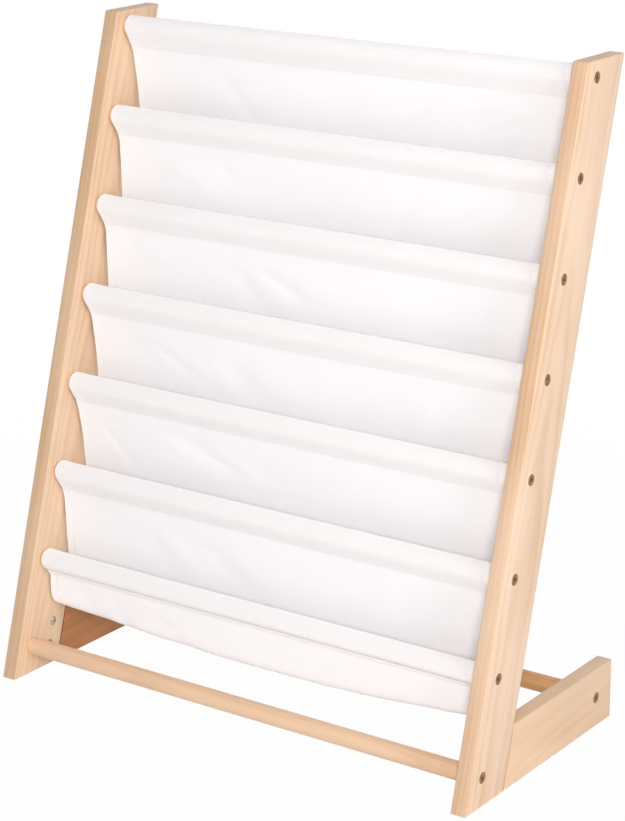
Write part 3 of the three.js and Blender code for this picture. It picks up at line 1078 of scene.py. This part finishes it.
def creases(rod, x, depth):
    """Soft drag lines that run from the rod's ends and the seam into the panel."""
    draw = random.Random(fold_seed + rod)
    total = np.zeros_like(x)
    for _ in range(fold_count):
        side = draw.choice((-1, 1))
        start_x = side * draw.uniform(*fold_starts)
        start_d = draw.uniform(*fold_depths)
        length = draw.uniform(*fold_lengths)
        angle = math.radians(draw.uniform(*fold_degrees))
        width = draw.uniform(*fold_widths)
        size = draw.uniform(*fold_heights)
        dx, dd = -side * math.cos(angle), math.sin(angle)
        along = (x - start_x) * dx + (depth - start_d) * dd
        off = (x - start_x) * dd - (depth - start_d) * dx
        grown = smooth_step(along, -fold_lead, length * fold_grown_share)
        envelope = grown * (1 - smooth_step(along, length * fold_fade_share, length))
        total += size * envelope * np.exp(-((off / width) ** 2))
    return total


def noise_field(x, z, layer, wide, tall):
    flat_x, flat_z = (x / wide).ravel(), (z / tall).ravel()
    values = [noise.noise(Vector((a, b, layer))) for a, b in zip(flat_x, flat_z)]
    return np.array(values).reshape(x.shape)


def wrinkles(rod, x, z):
    """How far the panel that hangs from a rod stands off its middle line, in Y."""
    depth = rods[rod, 1] - seam_drops[rod] - z
    share = np.clip(depth / panel_fall, 0, 1)
    phase = 2 * np.pi * 1.5 * x / (2 * cloth_half_width) + 1.9 * rod
    swell = swell_height * np.sin(phase) * np.sin(np.pi * share)
    slow = slow_height * noise_field(x, z, 3.1 * rod + 0.7, *slow_spans)
    quick = quick_height * noise_field(x, z, 5.3 * rod + 9.1, *quick_spans)
    return swell + slow + quick + creases(rod, x, depth)


def panel_rows(rows, line):
    """The rows of the grid with the wrinkles of the panels added."""
    play = line.on_rows(line.play)[:, None]
    rod = line.on_rows(line.rod)
    x = np.broadcast_to(across, rows.shape[:2])
    moved = rows.copy()
    for i in range(len(rods)):
        weight = np.clip(1 - np.abs(rod - i), 0, 1)
        near = weight > 0
        shift = wrinkles(i, x[near], rows[near][..., 1])
        moved[near, :, 0] += shift * weight[near, None] * play[near]
    return moved


def drawn_in(rows, line):
    """Share of the waist on each row: 0 on the sleeves, full where a panel ends."""
    rod = line.on_rows(line.rod)[:, None]
    total = np.zeros(rows.shape[:2])
    for i in range(len(rods) - 1):
        depth = rods[i, 1] - seam_drops[i] - panel_start_drop - rows[..., 1]
        total += np.clip(1 - np.abs(rod - i), 0, 1) * drift(depth)
    return total


def puckers(rows, line):
    """Short ripples that the stitching draws into the cloth next to each seam, along the normal."""
    arc = lengths_along(rows[:, rows.shape[1] // 2])
    total = np.zeros(rows.shape[:2])
    for seam, index in line.seams.items():
        phase = noise_field(across, 0 * across, 11.0 + index, pucker_wander, 1) * 7
        ripple = np.sin(2 * np.pi * across / pucker_pitch + phase)
        ripple *= 0.55 + 0.45 * noise_field(across, 0 * across + 4, 11.0 + index, pucker_patch, 1)
        distance = np.abs(arc - arc[line.row(seam)])
        fade = np.exp(-distance / pucker_reach) * smooth_step(distance, 0.0, pucker_start)
        total += np.outer(fade, pucker_height * ripple)
    return total


def grid_normals(grid):
    down = np.gradient(grid, axis=0)
    over = np.gradient(grid, axis=1)
    normal = np.cross(down, over)
    return normal / np.linalg.norm(normal, axis=2, keepdims=True)


def lengths_along(points):
    """How far each row of points is from the first."""
    steps = np.linalg.norm(np.diff(points, axis=0), axis=-1)
    return np.concatenate([0 * steps[:1], np.cumsum(steps, axis=0)])


def sewn_rows(line):
    """1 on the rows that wrap a rod between two seams, 0 on the free cloth."""
    sewn = np.zeros(line.starts()[-1] + 1)
    for i in range(len(rods)):
        sewn[line.row(f"back_{i}"):line.row(f"front_{i}") + 1] = 1
    return sewn


def grid_mesh(name, top, bottom, lengths, sewn):
    """A closed sheet between two grids of points, with UVs in metres."""
    rows, cols = top.shape[:2]
    count = rows * cols
    points = np.concatenate([top.reshape(-1, 3), bottom.reshape(-1, 3)])
    index = np.arange(count).reshape(rows, cols)
    a, b, c, d = index[:-1, :-1], index[1:, :-1], index[1:, 1:], index[:-1, 1:]
    upper = np.stack([a, b, c, d], axis=-1).reshape(-1, 4)
    lower = np.stack([a, d, c, b], axis=-1).reshape(-1, 4) + count
    rim = np.concatenate([index[0, :], index[1:, -1], index[-1, -2::-1], index[-2:0:-1, 0]])
    after = np.roll(rim, -1)
    walls = np.stack([rim, after, after + count, rim + count], axis=-1)
    quads = np.concatenate([upper, lower, walls])
    mesh = bpy.data.meshes.new(name)
    mesh.vertices.add(len(points))
    mesh.vertices.foreach_set("co", points.astype(np.float32).ravel())
    mesh.loops.add(quads.size)
    mesh.loops.foreach_set("vertex_index", quads.astype(np.int32).ravel())
    mesh.polygons.add(len(quads))
    mesh.polygons.foreach_set("loop_start", np.arange(0, quads.size, 4, dtype=np.int32))
    mesh.update(calc_edges=True)
    uv = np.stack([np.broadcast_to(across, lengths.shape), lengths], axis=-1).reshape(-1, 2)
    layer = mesh.uv_layers.new(name="cloth")
    layer.data.foreach_set("uv", uv[quads.ravel() % count].astype(np.float32).ravel())
    values = np.tile(np.repeat(sewn, cols), 2)
    mesh.attributes.new("sewn", "FLOAT", "POINT").data.foreach_set("value", values.astype(np.float32))
    mesh.validate()
    return mesh


def tube_run(path, normals):
    """Stitches along a path: short threads that dip into the cloth at both ends."""
    pitch = stitch_pitch
    lengths = lengths_along(path)
    count = int(lengths[-1] / pitch)
    starts = (np.arange(count) + 0.5) * pitch + (lengths[-1] - (count + 1) * pitch) / 2
    places = starts[:, None] + stitch_places * (pitch - stitch_gap)

    def sample(values):
        return np.stack([np.interp(places, lengths, values[:, k]) for k in range(3)], axis=-1)

    centre, up = sample(path), sample(normals)
    up /= np.linalg.norm(up, axis=-1, keepdims=True)
    centre += up * (stitch_lifts * thread_radius)[:, None]
    forward = np.gradient(centre, axis=1)
    forward /= np.linalg.norm(forward, axis=-1, keepdims=True)
    side = np.cross(forward, up)
    side /= np.linalg.norm(side, axis=-1, keepdims=True)
    lift = np.cross(side, forward)
    angles = 2 * np.pi * np.arange(thread_corners) / thread_corners
    taper = stitch_taper * thread_radius
    round_it = np.cos(angles)[:, None] * side[:, :, None] + np.sin(angles)[:, None] * lift[:, :, None]
    return centre[:, :, None] + taper[:, None, None] * round_it


def stitch_mesh(name, runs):
    """All stitches as one mesh: a short closed tube for each."""
    rings = np.concatenate(runs)
    count, steps, corners = rings.shape[:3]
    starts = (np.arange(count) * steps * corners)[:, None]
    ring = starts[:, :, None] + np.arange(steps - 1)[:, None] * corners
    i = np.arange(corners)
    j = (i + 1) % corners
    quads = np.stack([ring + i, ring + j, ring + corners + j, ring + corners + i], axis=-1)
    faces = quads.reshape(-1, 4).tolist()
    faces += (starts + i[::-1]).tolist() + (starts + i + (steps - 1) * corners).tolist()
    mesh = bpy.data.meshes.new(name)
    mesh.from_pydata(rings.reshape(-1, 3).tolist(), [], faces)
    mesh.shade_smooth()
    return mesh


def make_sling():
    """One long strip of canvas: hemmed at both ends and down both sides, sewn round seven rods."""
    line = sling_line()
    rows = panel_rows(spline(line.points, line.steps), line)
    spread = 1 + lower_spread * (1 - smooth_step(rows[..., 1], *spread_heights))
    spread = spread - waist / cloth_half_width * drawn_in(rows, line)
    middle = np.stack([across * spread, rows[..., 0], rows[..., 1]], axis=-1)
    normal = grid_normals(middle)
    middle = middle + normal * puckers(rows, line)[..., None]
    normal = grid_normals(middle)
    lengths = lengths_along(middle)
    arc = lengths[:, lengths.shape[1] // 2]
    half = cloth_thickness / 2
    ends = np.minimum(arc, arc[-1] - arc)
    doubled = 1 - smooth_step(ends, end_hem - end_hem_fade, end_hem)
    end_round = np.interp(ends, end_round_places, end_round_shares)
    rounding = np.outer(end_round, edge_round)[..., None]
    face_out = half + cloth_thickness * doubled[:, None, None]
    face_in = half + cloth_thickness * hemmed[:, None]
    top = middle + normal * face_out * rounding
    bottom = middle - normal * face_in * rounding
    mesh = grid_mesh("canvas_sling", top, bottom, lengths, sewn_rows(line))
    shade_rounded(mesh, cloth_crease)
    nodes = [f"sleeve_{i}" for i in range(1, 8)] + [f"pocket_{i}" for i in range(1, 7)]
    sling = new_piece("canvas_sling", mesh, "canvas", canvas_weave("white_canvas"), *nodes)

    between = slice(seam_end_columns, -seam_end_columns)
    runs = []
    for seam in line.seams:
        if seam != f"back_{last_pocket + 1}":
            row = line.row(seam)
            runs.append(tube_run(top[row, between], normal[row, between]))
    for column in (hem_stitch_column, -1 - hem_stitch_column):
        runs.append(tube_run(top[:, column], normal[:, column]))
        runs.append(tube_run(bottom[:, column], -normal[:, column]))
    stitch_shape = stitch_mesh("sling_stitches", runs)
    stitches = new_piece("sling_stitches", stitch_shape, "canvas", thread("sewing_thread"))


# Floor, light and camera
def make_floor():
    """A pale floor that takes the shadow; the camera sees it white, and far out as plain white."""
    corners = [(x * floor_reach, y * floor_reach, 0) for x, y in ((-1, -1), (1, -1), (1, 1), (-1, 1))]
    floor = linked("floor", mesh_of("floor", corners, [(0, 1, 2, 3)]))
    floor.location.z = -floor_drop
    finish = Finish("white_floor")
    finish.tree.nodes.remove(finish.shader)
    place = finish.add("TexCoord").outputs["Object"]
    grain = finish.noise(place, 3.0, 2.0)
    colour = finish.mix(grain, *floor_greys)
    diffuse = finish.add("BsdfDiffuse", {"Color": colour}).outputs[0]
    glow = finish.add("Emission", {"Color": plain_white}).outputs[0]
    bright = finish.add("BsdfDiffuse", {"Color": plain_white}).outputs[0]
    distance = finish.add("VectorMath", {0: place}, operation="LENGTH").outputs["Value"]
    white = finish.ramp(finish.math("DIVIDE", distance, white_reach), *white_stops)
    shown = finish.add("MixShader", {0: white, 1: bright, 2: glow}).outputs[0]
    surface = finish.add("MixShader", {0: finish.seen(), 1: diffuse, 2: shown}).outputs[0]
    finish.put(finish.output.inputs["Surface"], surface)
    floor.data.materials.append(finish.material)


def make_world():
    """Soft light, brighter from the front and above; the camera sees plain white."""
    world = bpy.data.worlds.new("studio")
    bpy.context.scene.world = world
    sky = Nodes(world)
    place = sky.add("TexCoord").outputs["Generated"]
    towards = sky.add("VectorMath", {0: place, 1: bright_side}, operation="DOT_PRODUCT").outputs["Value"]
    share = sky.add("MapRange", {"Value": towards, "From Min": -1.0}).outputs["Result"]
    soft = sky.add("Background", {"Color": sky.mix(share, shade_light, bright_light)}).outputs[0]
    plain = sky.add("Background", {"Color": plain_white}).outputs[0]
    surface = sky.add("MixShader", {0: sky.seen(), 1: soft, 2: plain}).outputs[0]
    sky.add("OutputWorld", {"Surface": surface})


def aimed(name, data, place, direction):
    """A new object at a place, a lamp or the camera, that looks along a direction."""
    holder = linked(name, data)
    holder.location = place
    holder.rotation_euler = direction.to_track_quat("-Z", "Y").to_euler()
    return holder


def make_lights():
    for name, (place, size, power) in lamps.items():
        light = bpy.data.lights.new(name, "AREA")
        light.size = size
        light.energy = power
        lamp = aimed(name, light, place, lamp_aim - Vector(place))
        lamp.visible_glossy = name != "back"


def make_camera():
    """The photograph's view, fitted to the boards' edges."""
    camera = bpy.data.cameras.new("photo_camera")
    camera.sensor_width = camera_sensor
    camera.lens = camera_lens
    camera.shift_x, camera.shift_y = camera_shift
    camera.clip_start, camera.clip_end = camera_clip
    level = math.cos(camera_elevation)
    ahead = Vector((
        -math.sin(camera_azimuth) * level,
        math.cos(camera_azimuth) * level,
        -math.sin(camera_elevation),
    ))
    bpy.context.scene.camera = aimed("photo_camera", camera, camera_place, ahead)


make_boards()
make_rods()
make_screws()
make_cams()
make_pins()
make_sling()
make_floor()
make_world()
make_lights()
make_camera()
bpy.context.scene.view_settings.view_transform = "Standard"
